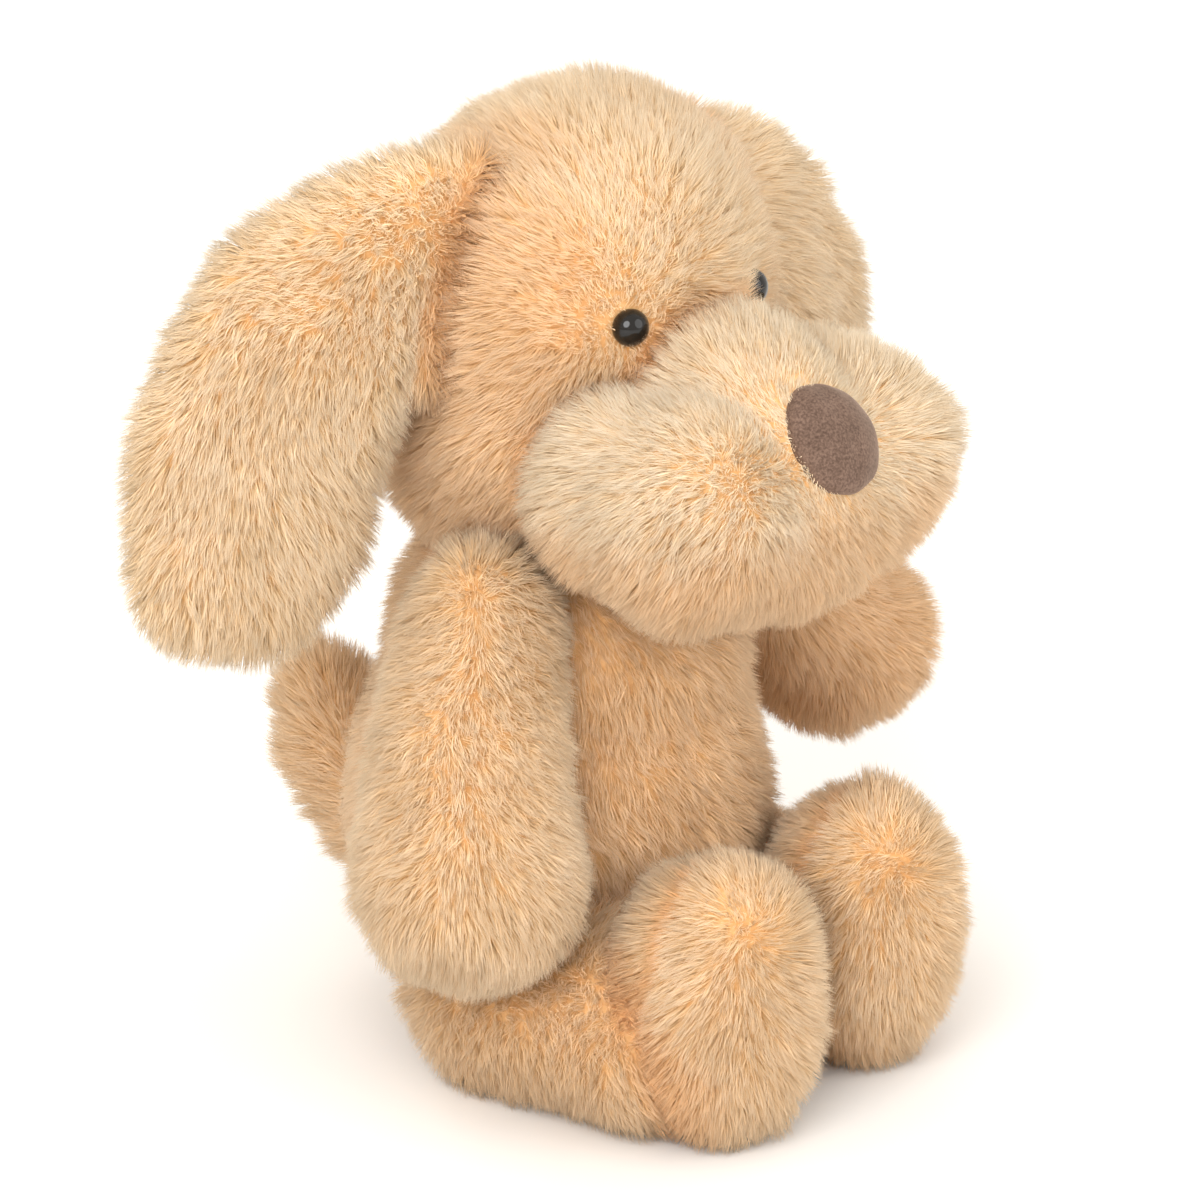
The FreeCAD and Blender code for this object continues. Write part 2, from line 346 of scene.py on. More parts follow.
def ear_axes(side):
    """Outward and thickness directions of an ear, and its base."""
    sign = SIDES[side]
    sweep = math.radians(EAR_SWEEP[side])
    out = np.array((sign * math.cos(sweep), math.sin(sweep), 0))
    across = np.array((-sign * math.sin(sweep), math.cos(sweep), 0))
    return out, across, np.array((sign * EAR_BASE[0], EAR_BASE[1], 0))


def ear_place(side, reach, height):
    """Point in an ear's own plane."""
    out, _, base = ear_axes(side)
    return base + out * reach + np.array((0, 0, height))


def ear_stations(side, count):
    """The ear's stations, taken closer together."""
    stations = EAR_STATIONS[side]
    at = np.linspace(0, len(stations) - 1, count)
    return np.stack([np.interp(at, range(len(stations)), column) for column in stations.T], 1)


def bridge(bm, rings):
    """Faces between each ring of vertices and the next."""
    for low, high in zip(rings, rings[1:]):
        for k in range(len(low)):
            j = (k + 1) % len(low)
            bm.faces.new((low[k], low[j], high[j], high[k]))


def ear_skin(side, name):
    """Lobe lofted through its stations, with the rounded bar of its root."""
    out, across, _ = ear_axes(side)
    bm = bmesh.new()
    rings = []
    turns = np.linspace(0, 2 * math.pi, 28, endpoint=False)
    for reach, height, slope, wide, thick in ear_stations(side, 33):
        angle = math.radians(slope)
        up = out * -math.sin(angle) + UP * math.cos(angle)
        centre = ear_place(side, reach, height)
        ring = [centre + up * wide * math.cos(t) + across * thick * math.sin(t) for t in turns]
        rings.append([bm.verts.new(Vector(point) * MM) for point in ring])
    bridge(bm, rings)
    bm.faces.new(rings[0][::-1])
    bm.faces.new(rings[-1])
    bmesh.ops.recalc_face_normals(bm, faces=bm.faces)
    root = [(tuple(ear_place(side, *centre)), radius) for centre, radius in EAR_ROOT]
    for centre, radii in spans(root):
        place = Matrix.Translation(Vector(centre) * MM) @ Matrix.Scale((radii[0] - 0.5) * MM, 4)
        bmesh.ops.create_icosphere(bm, subdivisions=3, radius=1.0, matrix=place)
    return welded(name, bm, 3.2, 3)


# Ways the pile is combed: each takes points and returns directions

def comb_head(points):
    """Away from the muzzle, over the crown and down the back."""
    away = unit(points - np.array((0, -92, 196)))
    side = smooth((np.abs(points[:, 0]) - 18) / 30) * smooth((228 - points[:, 2]) / 40)
    back = smooth((points[:, 1] + 5) / 30)
    away[:, 2] -= 0.55 * side + 1.3 * back
    return away


def comb_muzzle(points):
    """Out from the nose on every side, then down over the cheeks."""
    away = unit(points - NOSE_CENTRE)
    away[:, 2] -= 0.18
    return away


def comb_along(balls, fall=0.25):
    """From a chain's root to its end, sagging a little."""
    stops = [np.array(centre) for centre, _ in balls]

    def comb(points):
        total = np.zeros_like(points)
        for a, b in zip(stops, stops[1:]):
            apart = np.linalg.norm(points - (a + b) / 2, axis=1)
            total += unit(b - a) * np.exp(-(apart / 30) ** 2)[:, None]
        total = unit(total)
        past = unit(points - stops[-1])
        beyond = smooth(((points - stops[-1]) @ unit(stops[-1] - stops[-2])) / 20)
        total = total + past * 0.4 * beyond[:, None]
        total[:, 2] -= fall
        return total

    return comb


def comb_body(points):
    """Down, and out from the middle of the chest."""
    way = np.tile(np.array((0.0, 0.0, -1.0)), (len(points), 1))
    way[:, 0] += np.sign(points[:, 0]) * 0.25
    way[:, 1] += 0.2 * np.sign(points[:, 1])
    return way


def comb_foot(centre):
    """Out from the middle of the sole and down."""
    def comb(points):
        way = unit(points - (np.array(centre) + np.array((0, -10, 14))))
        way[:, 2] -= 0.5
        return way

    return comb


def comb_ear(side):
    """Out of the seam and down the lobe."""
    out, _, _ = ear_axes(side)
    rows = ear_stations(side, 15)
    centres = np.array([ear_place(side, row[0], row[1]) for row in rows])
    slopes = np.radians(rows[:, 2])
    ways = out * np.cos(slopes)[:, None] + UP * np.sin(slopes)[:, None]

    def comb(points):
        total = np.zeros_like(points)
        for centre, way in zip(centres, ways):
            apart = np.linalg.norm(points - centre, axis=1)
            total += way * np.exp(-(apart / 17) ** 2)[:, None]
        return unit(total)

    return comb


# Pile

def scatter(mesh, density, rng):
    """Points spread evenly over a mesh, with their normals."""
    mesh.calc_loop_triangles()
    corners = np.zeros(len(mesh.loop_triangles) * 3, np.int64)
    mesh.loop_triangles.foreach_get("vertices", corners)
    corners = corners.reshape(-1, 3)
    points, normals = places(mesh), directions(mesh)
    a, b, c = (points[corners[:, k]] for k in range(3))
    areas = np.linalg.norm(np.cross(b - a, c - a), axis=1) / 2
    count = int(areas.sum() * density)
    chosen = np.searchsorted(np.cumsum(areas) / areas.sum(), rng.random(count))
    chosen = np.minimum(chosen, len(areas) - 1)
    u, v = rng.random(count), rng.random(count)
    over = u + v > 1
    u[over], v[over] = 1 - u[over], 1 - v[over]
    weights = np.stack([1 - u - v, u, v], 1)[:, :, None]
    roots = sum(points[corners[chosen, k]] * weights[:, k] for k in range(3))
    facing = sum(normals[corners[chosen, k]] * weights[:, k] for k in range(3))
    return roots, unit(facing)


def clumped(roots, spacing, rng):
    """For each root, the index of the root that its clump gathers to."""
    leaders = rng.permutation(len(roots))[: max(8, int(len(roots) / spacing))]
    tree = KDTree(len(leaders))
    for index, leader in enumerate(leaders):
        tree.insert(roots[leader], index)
    tree.balance()
    own = np.array([tree.find(root)[1] for root in roots])
    return leaders[own]


def strand_faces(levels):
    """Triangles of one three-sided strand with a number of rings and a tip."""
    faces = [(0, 2, 1)]
    for level in range(levels - 1):
        for k in range(3):
            j = (k + 1) % 3
            low, high = level * 3, level * 3 + 3
            faces += [(low + k, low + j, high + j), (low + k, high + j, high + k)]
    top = (levels - 1) * 3
    faces += [(top + k, top + (k + 1) % 3, top + 3) for k in range(3)]
    return np.array(faces)


def triangle_mesh(name, co, index):
    """Mesh of triangles, from millimetre positions and corner indices."""
    mesh = bpy.data.meshes.new(name)
    mesh.vertices.add(len(co))
    mesh.vertices.foreach_set("co", (co * MM).ravel())
    mesh.loops.add(len(index))
    mesh.loops.foreach_set("vertex_index", index.astype(np.int32))
    mesh.polygons.add(len(index) // 3)
    mesh.polygons.foreach_set("loop_start", np.arange(0, len(index), 3, dtype=np.int32))
    mesh.update(calc_edges=True)
    return mesh


def set_vectors(mesh, name, values):
    """One vector for each vertex, under a name."""
    attribute = mesh.attributes.new(name, "FLOAT_VECTOR", "POINT")
    attribute.data.foreach_set("vector", values.astype(np.float32).ravel())


def set_cells(mesh, index, count, along):
    """A square cell of the OFBake UV map for each strand, its root at the bottom."""
    columns = math.ceil(math.sqrt(count))
    cell = np.stack([np.arange(count) % columns, np.arange(count) // columns], 1)
    spot = np.zeros((len(along), 2))
    spot[:, 1] = 0.15 + 0.7 * along
    spot[:-1, 0] = np.tile((0.2, 0.5, 0.8), len(along) // 3)
    spot[-1, 0] = 0.5
    uv = ((cell[:, None] + spot[None]) / columns).reshape(-1, 2)
    layer = mesh.uv_layers.new(name="OFBake")
    layer.data.foreach_set("uv", uv[index].astype(np.float32).ravel())


def strand_mesh(name, rings, tips, across, widths, facing, tone, painted_shade):
    """Closed three-sided strands. rings is a list of (points, radius share) from root to tip."""
    count = len(tips)
    side, other = across
    levels = len(rings)
    each = levels * 3 + 1
    co = np.zeros((count, each, 3), np.float32)
    shading = np.repeat(facing[:, None], each, axis=1)
    for level, (centres, share) in enumerate(rings):
        for k in range(3):
            turn = 2 * math.pi * k / 3
            spoke = side * math.cos(turn) + other * math.sin(turn)
            co[:, level * 3 + k] = centres + spoke * (widths * share)[:, None]
            shading[:, level * 3 + k] += spoke * SPOKE_SHADING
    co[:, -1] = tips
    co[:, :, 2] = np.maximum(co[:, :, 2], STRAND_FLOOR)
    starts = (np.arange(count) * each)[:, None, None]
    index = (strand_faces(levels)[None] + starts).reshape(-1)
    mesh = triangle_mesh(name, co.reshape(-1, 3), index)
    along = np.array([level / levels for level in range(levels) for _ in range(3)] + [1.0])
    pile = np.zeros((count, each, 3), np.float32)
    pile[:, :, 0] = along
    pile[:, :, 1] = tone[:, None]
    pile[:, :, 2] = painted_shade[:, None]
    set_vectors(mesh, "pile", pile)
    set_vectors(mesh, "custom_normal", unit(shading))
    set_cells(mesh, index, count, along)
    mesh.shade_smooth()
    return mesh


def shade_of(points, forms):
    """Painted shade in folds: how near a point lies to another form, from 0 to 1."""
    if not forms:
        return np.zeros(len(points))
    return 1 - smooth(clearance(points, forms) / FOLD_SHADE_REACH)


def painted_shade_all(least):
    """Painted shade: the same least depth of colour everywhere."""
    return lambda normals: least


def painted_shade_under(least):
    """Painted shade on the underside: deeper colour there."""
    return lambda normals: least * smooth((0.3 - normals[:, 2]) / 0.8)


def painted_shade_sides(least):
    """Painted shade on the two sides: deeper colour there."""
    return lambda normals: least * smooth((np.abs(normals[:, 0]) - 0.25) / 0.5)


def painted_shade_depth(roots, normals, forms, warm, crease):
    """Depth of each strand's painted shade, from 0 to 1, in folds, on shaded parts and at a crease,
    and how near it is to a crease.
    """
    painted_shade = shade_of(roots, forms)
    if warm is not None:
        painted_shade = np.maximum(painted_shade, warm(normals))
    if crease is None:
        return painted_shade, np.zeros(len(roots))
    # Painted shade along the crease, where the pile is also shorter
    parted = np.exp(-(crease(roots) / CREASE_WIDTH) ** 2)
    return np.maximum(painted_shade, 0.8 * parted), parted


def grown(roots, normals, flow, laid, lengths, leaders, rng):
    """Root, middle and tip of each strand, leaning along the flow and drawn into tufts."""
    count = len(roots)
    lean = rng.normal(0, 6, count) + rng.normal(0, 7, count)[leaders]
    turn = rng.normal(0, 0.16, count) + rng.normal(0, 0.24, count)[leaders]
    flow = unit(flow + np.cross(normals, flow) * turn[:, None])
    low = np.radians(np.clip(LEAN_LOW * laid + lean, 0, 80))[:, None]
    high = np.radians(np.clip(LEAN_HIGH * (0.25 + 0.75 * laid) + lean, 5, 100))[:, None]
    half = lengths[:, None] * 0.5
    base = roots - normals * PILE_SINK
    middle = base + (normals * np.cos(low) + flow * np.sin(low)) * half
    tips = middle + (normals * np.cos(high) + flow * np.sin(high)) * half
    tips += (tips[leaders] - tips) * (GATHER * rng.uniform(0.6, 1.2, count))[:, None]
    middle += (middle[leaders] - middle) * (0.35 * GATHER)
    return base, middle, tips, flow


def add_piles(name, body, slot, strands, bent, order):
    """Links the strands as meshes small enough to keep whole in the export."""
    base, middle, tips, side, other, widths, facing, tone, painted_shade = strands
    for kind, levels in (("", 1), ("_top", 2)):
        chosen = order[bent[order] == (levels == 2)]
        pieces = max(1, math.ceil(len(chosen) * STRAND_FACES[levels] / PIECE_FACES))
        for number, part in enumerate(np.array_split(chosen, pieces)):
            rings = [(base[part], 1.0), (middle[part], 0.8)][:levels]
            label = name + kind + (f"_{number + 1}" if pieces > 1 else "")
            mesh = strand_mesh(label, rings, tips[part], (side[part], other[part]), widths[part],
                               facing[part], tone[part], painted_shade[part])
            obj = link(label, mesh)
            obj.data.materials.append(PILE_MATERIALS[slot])
            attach(obj, body)


def pile_on(skin, part, name, body, comb, seed, near=(), adjust=None, crease=None, warm=None,
            slot="plush"):
    """Grows pile on a skin.

    near holds the forms that bury it or lie against it, with painted shade where they are near,
    adjust edits the strands before they are combed, crease(points) is the distance to a parting,
    painted with shade, and warm(normals) is the least depth of colour, a painted shade.
    """
    length, density = PILE[part]
    rng = np.random.default_rng(seed)
    roots, normals = scatter(skin.data, density, rng)
    forms = [form for group in near for form in group]
    if forms:
        keep = clearance(roots, forms) > BURIED
        roots, normals = roots[keep], normals[keep]
    swirl = np.stack([waves(roots, 42, seed + k) for k in range(3)], 1)
    flow = unit(comb(roots)) + 0.27 * swirl
    uneven = 1 + 0.1 * waves(roots, 16, seed + 5)
    lengths = length * uneven * rng.uniform(0.78, 1.08, len(roots))
    if adjust is not None:
        roots, normals, flow, lengths = adjust(roots, normals, flow, lengths)
    count = len(roots)
    flow -= normals * np.sum(flow * normals, axis=1, keepdims=True)
    laid = smooth(np.linalg.norm(flow, axis=1) / 0.8)
    painted_shade, parted = painted_shade_depth(roots, normals, forms, warm, crease)
    lengths = lengths * (1 - 0.3 * parted)
    leaders = clumped(roots, CLUMP_SIZE, rng)
    base, middle, tips, flow = grown(roots, normals, unit(flow), laid, lengths, leaders, rng)
    run = unit(tips - base)
    side = unit(np.cross(run, unit(rng.normal(size=(count, 3)))))
    other = np.cross(run, side)
    widths = STRAND_WIDTH * rng.uniform(0.7, 1.25, count)
    tone = 0.55 * rng.normal(0, 1, count) + 0.45 * rng.normal(0, 1, count)[leaders]
    facing = normals + 0.25 * flow + (roots - roots[leaders]) * TUFT_SHADING
    bent = rng.random(count) < BENT_SHARE
    order = np.lexsort((leaders, np.floor(roots[:, 2] / 9)))
    strands = (base, middle, tips, side, other, widths, facing, tone, painted_shade)
    add_piles(name, body, slot, strands, bent, order)


# Materials

def srgb(r, g, b):
    """Linear colour of 0-255 display values."""
    def linear(v):
        v /= 255
        return v / 12.92 if v <= 0.04045 else ((v + 0.055) / 1.055) ** 2.4
    return (linear(r), linear(g), linear(b), 1.0)


def new_material(name, roughness, specular=0.3):
    """Principled material and its tree."""
    material = bpy.data.materials.new(name)
    material.use_nodes = True
    tree = material.node_tree
    shader = tree.nodes["Principled BSDF"]
    shader.inputs["Roughness"].default_value = roughness
    shader.inputs["Specular IOR Level"].default_value = specular
    return material, tree, shader


def ramp(tree, source, stops):
    """Colour ramp fed by a socket."""
    node = tree.nodes.new("ShaderNodeValToRGB")
    elements = node.color_ramp.elements
    while len(elements) < len(stops):
        elements.new(0.5)
    for element, (at, colour) in zip(elements, stops):
        element.position = at
        element.color = colour
    tree.links.new(source, node.inputs["Fac"])
    return node.outputs["Color"]


def feed(tree, target, value):
    """Links a socket to an input, or sets the input to a constant."""
    if isinstance(value, bpy.types.NodeSocket):
        tree.links.new(value, target)
    else:
        target.default_value = value


def mixed(tree, share, a, b, mode="MIX"):
    """Colour mix of two sockets or colours."""
    node = tree.nodes.new("ShaderNodeMix")
    node.data_type = "RGBA"
    node.blend_type = mode
    for name, value in (("Factor", share), ("A", a), ("B", b)):
        target = [socket for socket in node.inputs if socket.name == name and socket.enabled][0]
        feed(tree, target, value)
    return [socket for socket in node.outputs if socket.enabled][0]


def maths(tree, operation, *values):
    """Arithmetic on sockets and numbers."""
    node = tree.nodes.new("ShaderNodeMath")
    node.operation = operation
    for target, value in zip(node.inputs, values):
        feed(tree, target, value)
    return node.outputs[0]


def noise(tree, scale, detail=3.0):
    """Noise over the object's own coordinates."""
    coordinates = tree.nodes.new("ShaderNodeTexCoord")
    node = tree.nodes.new("ShaderNodeTexNoise")
    node.inputs["Scale"].default_value = scale
    node.inputs["Detail"].default_value = detail
    tree.links.new(coordinates.outputs["Object"], node.inputs["Vector"])
    return node.outputs["Fac"]


def pile_material(name, root, middle, tip, fold_shade):
    """Pile that is darker at its roots and pale at its tips, with painted shade in folds and on
    shaded parts.
    """
    material, tree, shader = new_material(name, 0.7, 0.08)
    reader = tree.nodes.new("ShaderNodeAttribute")
    reader.attribute_name = "pile"
    parts = tree.nodes.new("ShaderNodeSeparateXYZ")
    tree.links.new(reader.outputs["Vector"], parts.inputs["Vector"])
    along = ramp(tree, parts.outputs["X"], [(0.0, root), (0.45, middle), (1.0, tip)])
    # Painted shade: the pile's third value mixes in the shade colour, in folds and on shaded parts
    share = maths(tree, "MULTIPLY", parts.outputs["Z"], FOLD_SHADE_SHARE)
    fold_shaded = mixed(tree, share, along, fold_shade)
    worn, fresh = (0.93, 0.90, 0.86, 1), (1.04, 1.05, 1.07, 1)
    patch = ramp(tree, noise(tree, 38.0), [(0.3, worn), (0.7, fresh)])
    patched = mixed(tree, 1.0, fold_shaded, patch, "MULTIPLY")
    value = tree.nodes.new("ShaderNodeHueSaturation")
    brightness = maths(tree, "MULTIPLY_ADD", parts.outputs["Y"], TONE_RANGE, 1.0)
    tree.links.new(brightness, value.inputs["Value"])
    tree.links.new(patched, value.inputs["Color"])
    tree.links.new(value.outputs["Color"], shader.inputs["Base Color"])
    shader.inputs["Sheen Weight"].default_value = 0.35
    shader.inputs["Sheen Roughness"].default_value = 0.5
    shader.inputs["Sheen Tint"].default_value = srgb(255, 236, 205)
    return material


def backing_material(name, colour, dark):
    """Knitted backing under the pile."""
    material, tree, shader = new_material(name, 0.9, 0.1)
    coordinates = tree.nodes.new("ShaderNodeTexCoord")
    weave = tree.nodes.new("ShaderNodeTexVoronoi")
    weave.inputs["Scale"].default_value = 900
    tree.links.new(coordinates.outputs["Object"], weave.inputs["Vector"])
    stitched = ramp(tree, weave.outputs["Distance"], [(0.0, colour), (1.0, dark)])
    blotch = ramp(tree, noise(tree, 60.0), [(0.3, (0.88, 0.85, 0.8, 1)), (0.7, (1, 1, 1, 1))])
    tree.links.new(mixed(tree, 1.0, stitched, blotch, "MULTIPLY"), shader.inputs["Base Color"])
    return material


def suede_material():
    """Brushed taupe nap with mottling."""
    material, tree, shader = new_material("nose_suede", 0.85, 0.15)
    dark, light = srgb(86, 67, 58), srgb(126, 103, 90)
    nap = ramp(tree, noise(tree, 1500.0, 4.0), [(0.32, dark), (0.7, light)])
    dull, bright = (0.82, 0.8, 0.78, 1), (1.08, 1.07, 1.06, 1)
    cloud = ramp(tree, noise(tree, 160.0), [(0.3, dull), (0.7, bright)])
    tree.links.new(mixed(tree, 1.0, nap, cloud, "MULTIPLY"), shader.inputs["Base Color"])
    shader.inputs["Sheen Weight"].default_value = 0.5
    shader.inputs["Sheen Roughness"].default_value = 0.4
    shader.inputs["Sheen Tint"].default_value = srgb(220, 200, 184)
    return material


def eye_material():
    """Polished black plastic."""
    material, tree, shader = new_material("eye_plastic", 0.08, 0.35)
    tone = ramp(tree, noise(tree, 90.0), [(0.3, srgb(9, 8, 8)), (0.7, srgb(20, 16, 15))])
    tree.links.new(tone, shader.inputs["Base Color"])
    shader.inputs["Coat Weight"].default_value = 0.2
    shader.inputs["Coat Roughness"].default_value = 0.03
    return material


def plain_material(name, colour, dark, roughness, scale):
    """Inner pieces: a mottled matte finish."""
    material, tree, shader = new_material(name, roughness)
    mottled = ramp(tree, noise(tree, scale), [(0.3, dark), (0.7, colour)])
    tree.links.new(mottled, shader.inputs["Base Color"])
    return material


# Each pile: root, middle and tip colours, then the colour of its painted shade
PILE_MATERIALS = {
    "plush": pile_material("plush", srgb(251, 212, 160), srgb(253, 216, 168), srgb(254, 234, 207),
                           srgb(244, 170, 100)),
    "plush_pale": pile_material("plush_pale", srgb(252, 215, 168), srgb(253, 222, 180),
                                srgb(254, 239, 217), srgb(246, 184, 120)),
}
BACKING = backing_material("backing", srgb(246, 204, 152), srgb(232, 180, 122))
SUEDE = suede_material()
EYE_BLACK = eye_material()


# Camera, light and floor

def add_camera():
    """Camera a little above the dog, on its right."""
    azimuth, elevation = math.radians(AZIMUTH), math.radians(ELEVATION)
    back = Vector((math.sin(azimuth) * math.cos(elevation),
                   -math.cos(azimuth) * math.cos(elevation),
                   math.sin(elevation)))
    camera = bpy.data.objects.new("camera", bpy.data.cameras.new("camera"))
    scene.collection.objects.link(camera)
    camera.data.lens = LENS
    camera.data.sensor_width = 36.0
    camera.data.clip_start = 0.05
    camera.location = TARGET + back * DISTANCE
    camera.rotation_euler = (-back).to_track_quat("-Z", "Y").to_euler()
    scene.camera = camera


def add_floor():
    """Wide pale floor."""
    bm = bmesh.new()
    bmesh.ops.create_grid(bm, x_segments=1, y_segments=1, size=12.0)
    mesh = bpy.data.meshes.new("floor")
    bm.to_mesh(mesh)
    bm.free()
    floor = link("floor", mesh)
    material, _, shader = new_material("floor", 0.9, 0.1)
    shader.inputs["Base Color"].default_value = (0.92, 0.915, 0.905, 1)
    floor.data.materials.append(material)


def add_lights():
    """Three soft lamps and a warm, even world."""
    for name, place, size, power in LAMPS:
        light = bpy.data.lights.new(name, "AREA")
        light.shape = "DISK"
        light.size = size
        light.energy = power
        light.color = LAMP_COLOUR
        lamp = bpy.data.objects.new(name, light)
        lamp.location = place
        lamp.rotation_euler = (LAMP_AIM - lamp.location).to_track_quat("-Z", "Y").to_euler()
        scene.collection.objects.link(lamp)
    world = bpy.data.worlds.new("studio")
    world.use_nodes = True
    background = world.node_tree.nodes["Background"]
    background.inputs["Color"].default_value = WORLD_COLOUR
    background.inputs["Strength"].default_value = WORLD_STRENGTH
    scene.world = world
    scene.view_settings.view_transform = "Standard"


# The dog

def skin(obj, body, slot, fill, nodes, seed, cap=3.0, seam=None):
    """Makes a closed mesh the stuffed skin that stands for some CAD nodes."""
    swell(obj, cap)
    finish_skin(obj, seed)
    if seam is not None:
        dip(obj, *seam)
    obj.data.materials.clear()
    obj.data.materials.append(BACKING)
    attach(obj, body)
    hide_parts(*nodes)
    return obj


def crown_point(x, z):
    """Point on the front of the crown, and its normal."""
    centre, radii = (np.array(v, float) for v in HEAD[0])
    across, up = (x - centre[0]) / radii[0], (z - centre[2]) / radii[2]
    ahead = -math.sqrt(1 - across ** 2 - up ** 2)
    point = np.array((x, centre[1] + ahead * radii[1], z))
    return point, unit(np.array((across / radii[0], ahead / radii[1], up / radii[2])))


EYES = {side: crown_point(sign * EYE_X, EYE_Z) for side, sign in SIDES.items()}


def around_eyes(roots, normals, flow, lengths):
    """Clears the eyes, and keeps the pile about them short."""
    keep = np.ones(len(roots), bool)
    for point, _ in EYES.values():
        apart = np.linalg.norm(roots - point, axis=1)
        keep &= apart > 4.2
        lengths = lengths * (0.72 + 0.28 * smooth((apart - 4) / 10))
        away = unit(roots - point)
        close = 0.2 * (1 - smooth((apart - 4) / 8))
        flow = flow + away * close[:, None]
    keep &= clearance(roots, MUZZLE) > -3
    return roots[keep], normals[keep], flow[keep], lengths[keep]


def around_nose(roots, normals, flow, lengths):
    """Short pile at the nose's rim, growing to full length over the cheeks."""
    apart = np.linalg.norm(roots - NOSE_CENTRE, axis=1)
    keep = apart > NOSE_R - 1.5
    lengths = lengths * (0.5 + 0.5 * smooth((apart - NOSE_R) / 22))
    return roots[keep], normals[keep], flow[keep], lengths[keep]


def nose_rings(side, up, turns):
    """Rings of the nose, from near its middle out to its rim and back under it."""
    rings = []
    for share, rise in NOSE_PROFILE:
        ring = []
        for t in turns:
            wide = NOSE_R * share * (1.0 + 0.03 * math.cos(3 * t + 0.5))
            angle = wide / NOSE_BALL_R
            offset = side * math.cos(t) + up * math.sin(t)
            way = NOSE_AXIS * math.cos(angle) + offset * math.sin(angle)
            ring.append(NOSE_BALL + way * (NOSE_BALL_R + rise))
        rings.append(ring)
    return rings


def make_nose():
    """Puffed suede patch with a short nap."""
    side = np.array((1.0, 0, 0))
    up = np.cross(side, NOSE_AXIS)
    up = up if up[2] > 0 else -up
    turns = np.linspace(0, 2 * math.pi, 56, endpoint=False)
    bm = bmesh.new()
    rings = [[bm.verts.new(Vector(point) * MM) for point in ring]
             for ring in nose_rings(side, up, turns)]
    top = bm.verts.new(Vector(NOSE_BALL + NOSE_AXIS * (NOSE_BALL_R + NOSE_RISE)) * MM)
    for k in range(len(turns)):
        bm.faces.new((top, rings[0][k], rings[0][(k + 1) % len(turns)]))
    bridge(bm, rings)
    bm.faces.new(rings[-1])
    bmesh.ops.recalc_face_normals(bm, faces=bm.faces)
    mesh = bpy.data.meshes.new("nose")
    bm.to_mesh(mesh)
    bm.free()
    nose = link("nose", mesh)
    points = places(mesh)
    set_places(mesh, points + directions(mesh) * (waves(points, 9, 71) * 0.22)[:, None])
    subdivided(nose, 2)
    nose.data.shade_smooth()
    nose.data.materials.append(SUEDE)
    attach(nose, "head")
    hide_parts("nose_patch")


def make_eye(side):
    """Black dome, a little flatter than a ball."""
    point, normal = EYES[side]
    bm = bmesh.new()
    bmesh.ops.create_uvsphere(bm, u_segments=48, v_segments=24, radius=1.0)
    mesh = bpy.data.meshes.new("eye")
    bm.to_mesh(mesh)
    bm.free()
    eye = link("eye_dome_" + side, mesh)
    turn = Vector(normal).to_track_quat("Z", "Y").to_matrix().to_4x4()
    size = Matrix.Diagonal((EYE_R * MM, EYE_R * MM, EYE_R * EYE_FLATTEN * MM, 1))
    place = Matrix.Translation(Vector(point + normal * EYE_OUT) * MM)
    mesh.transform(place @ turn @ size)
    mesh.shade_smooth()
    mesh.materials.append(EYE_BLACK)
    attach(eye, "head")
    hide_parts("eye_" + side)


def make_torso_and_head(arms, legs, tail):
    """Body, head and muzzle. arms and legs hold each side's forms."""
    both_arms = arms["left"] + arms["right"]
    both_legs = legs["left"] + legs["right"] + FEET["left"] + FEET["right"]
    seam = (lambda points: np.abs(points[:, 1]), 3.0, 1.0)
    body = skin(skin_of("skin_body", BODY), "torso", "plush", 0.8,
                ("body_front", "body_back", "body_stuffing"), seed=1, seam=seam)
    # Painted shade: deeper colour on all the body's pile, on the head's sides and on the muzzle's
    # underside
    pile_on(body, "body", "pile_body", "torso", comb_body, 11,
            near=(HEAD, both_arms, both_legs, tail), warm=painted_shade_all(0.42))
    head = skin(skin_of("skin_head", HEAD), "head", "plush", 0.85,
                ("head_cover_left", "head_cover_right", "head_stuffing"), seed=2)
    pile_on(head, "head", "pile_head", "head", comb_head, 12,
            near=(MUZZLE, BODY), adjust=around_eyes, warm=painted_shade_sides(0.4))
    muzzle = skin(skin_of("skin_muzzle", MUZZLE, 3.5), "head", "plush_pale", 0.8,
                  ("muzzle_cover_left", "muzzle_cover_right", "muzzle_stuffing"), seed=3, cap=2.0)
    pile_on(muzzle, "muzzle", "pile_muzzle", "head", comb_muzzle, 13,
            near=(HEAD,), adjust=around_nose, warm=painted_shade_under(0.7), slot="plush_pale")


def make_ear(index, side):
    """One ear."""
    name = "ear_" + side
    ear = skin(ear_skin(side, "skin_" + name), name, "plush", 0.5,
               (name + "_front", name + "_back", name + "_stuffing"), seed=20 + index, cap=2.0)
    pile_on(ear, "ear", "pile_" + name, name, comb_ear(side), 30 + index, near=(HEAD,))


def make_arm(index, side, forms):
    """One arm. The left one is in the shade, so its colour is deeper."""
    name = "arm_" + side
    arm = skin(skin_of("skin_" + name, forms), name, "plush", 0.8,
               (name + "_outer", name + "_inner", name + "_stuffing"), seed=40 + index)
    pile_on(arm, "arm", "pile_" + name, name, comb_along(ARMS[side]), 50 + index,
            near=(BODY, HEAD), warm=painted_shade_all(ARM_PAINTED_SHADE[side]))


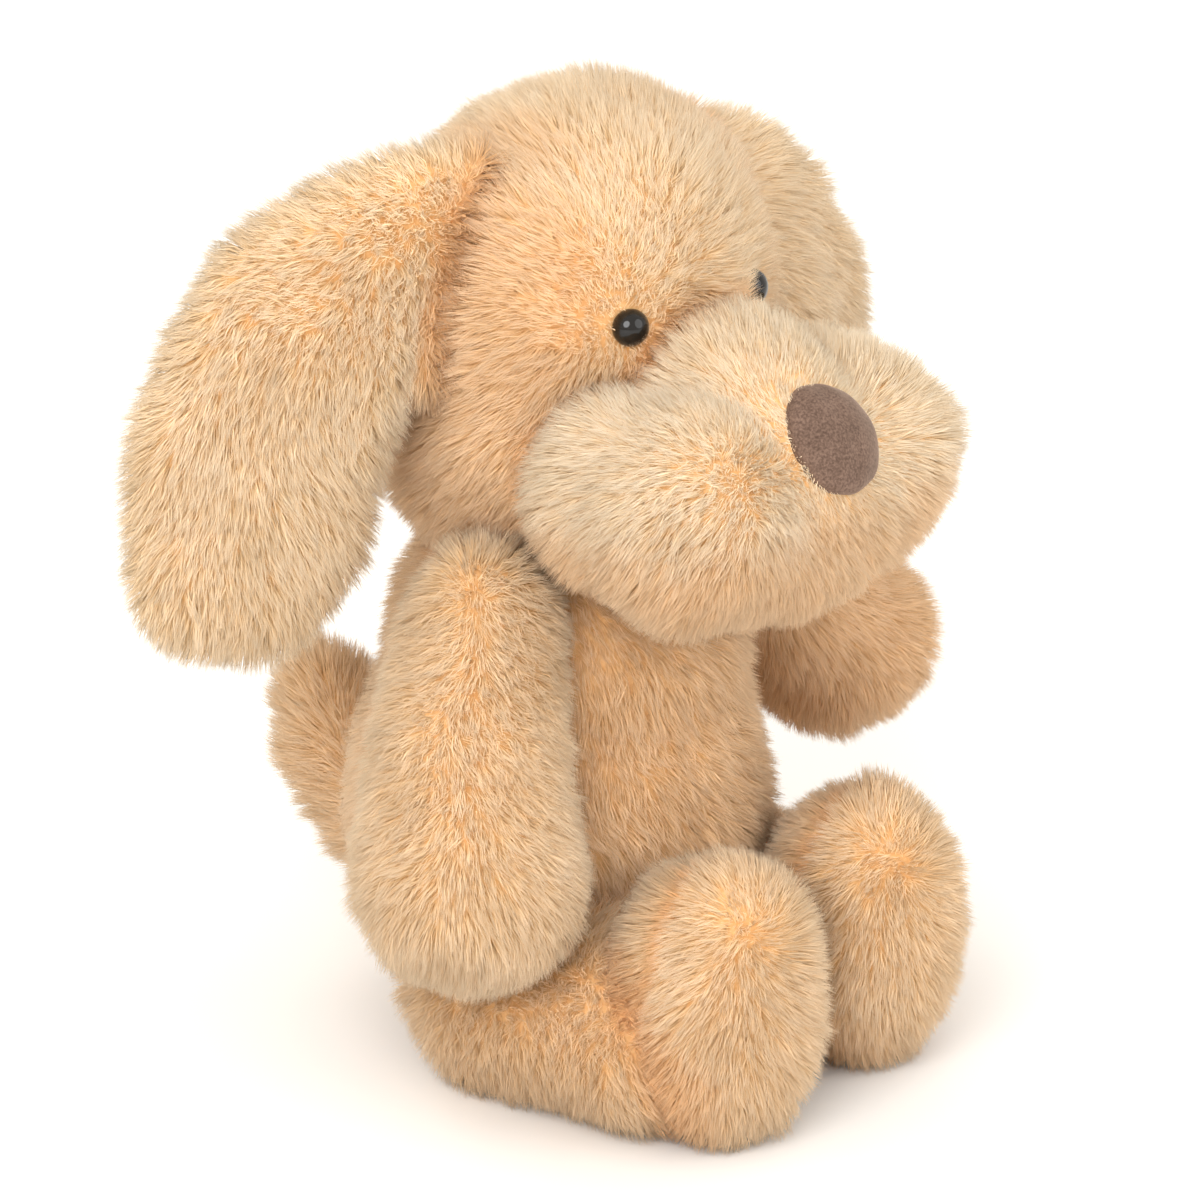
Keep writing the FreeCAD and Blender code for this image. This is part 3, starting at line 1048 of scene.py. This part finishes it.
def make_leg(index, side, forms):
    """One leg and its foot, which is parted along its sole's seam."""
    name, foot_name = "leg_" + side, "foot_" + side
    leg = skin(skin_of("skin_" + name, forms), name, "plush", 0.8,
               (name + "_top", name + "_bottom", name + "_stuffing"), seed=60 + index)
    # Painted shade: deeper colour on all the leg's and foot's pile, and along the sole's seam
    pile_on(leg, "leg", "pile_" + name, name, comb_along(LEGS[side]), 70 + index,
            near=(BODY, FEET[side]), warm=painted_shade_all(0.3))
    foot = skin(skin_of("skin_" + foot_name, FEET[side]), name, "plush", 0.8,
                (foot_name + "_sole", foot_name + "_upper", foot_name + "_stuffing"),
                seed=80 + index, cap=2.0)
    centre = FEET[side][0][0]
    pile_on(foot, "foot", "pile_" + foot_name, name, comb_foot(centre), 90 + index,
            near=(forms,), crease=lambda points: np.abs(points[:, 1] - centre[1] - SOLE_SEAM),
            warm=painted_shade_all(0.2))


def make_dog():
    """Skins, then pile, piece by piece."""
    arms = {side: spans(ARMS[side]) for side in SIDES}
    legs = {side: spans(LEGS[side]) for side in SIDES}
    tail_forms = spans(TAIL)
    make_torso_and_head(arms, legs, tail_forms)
    for index, side in enumerate(SIDES):
        make_ear(index, side)
        make_arm(index, side, arms[side])
        make_leg(index, side, legs[side])
        make_eye(side)
    tail = skin(skin_of("skin_tail", tail_forms, 3.0), "tail", "plush", 0.7,
                ("tail_upper", "tail_lower", "tail_stuffing"), seed=5)
    # Painted shade: deeper colour on all the tail's pile
    pile_on(tail, "tail", "pile_tail", "tail", comb_along(TAIL, 0.0), 15,
            near=(BODY,), warm=painted_shade_all(0.3))
    make_nose()


def dress_hidden():
    """Finishes of the pieces inside the dog."""
    washer = plain_material("washer", srgb(236, 234, 226), srgb(220, 217, 208), 0.45, 300)
    finishes = {
        "pellet_bag": plain_material("bag_cloth", srgb(238, 233, 224), srgb(216, 208, 196), 0.9, 700),
        "pellets": plain_material("pellets", srgb(236, 236, 230), srgb(196, 196, 190), 0.5, 420),
        "neck_thread": plain_material("thread", srgb(226, 182, 128), srgb(190, 140, 88), 0.8, 1800),
        "eye_washer_left": washer,
        "eye_washer_right": washer,
    }
    for name, material in finishes.items():
        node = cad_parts[name]
        node.data.materials.clear()
        node.data.materials.append(material)
        for slot in node.material_slots:
            slot.material = material


add_camera()
add_floor()
add_lights()
make_dog()
dress_hidden()
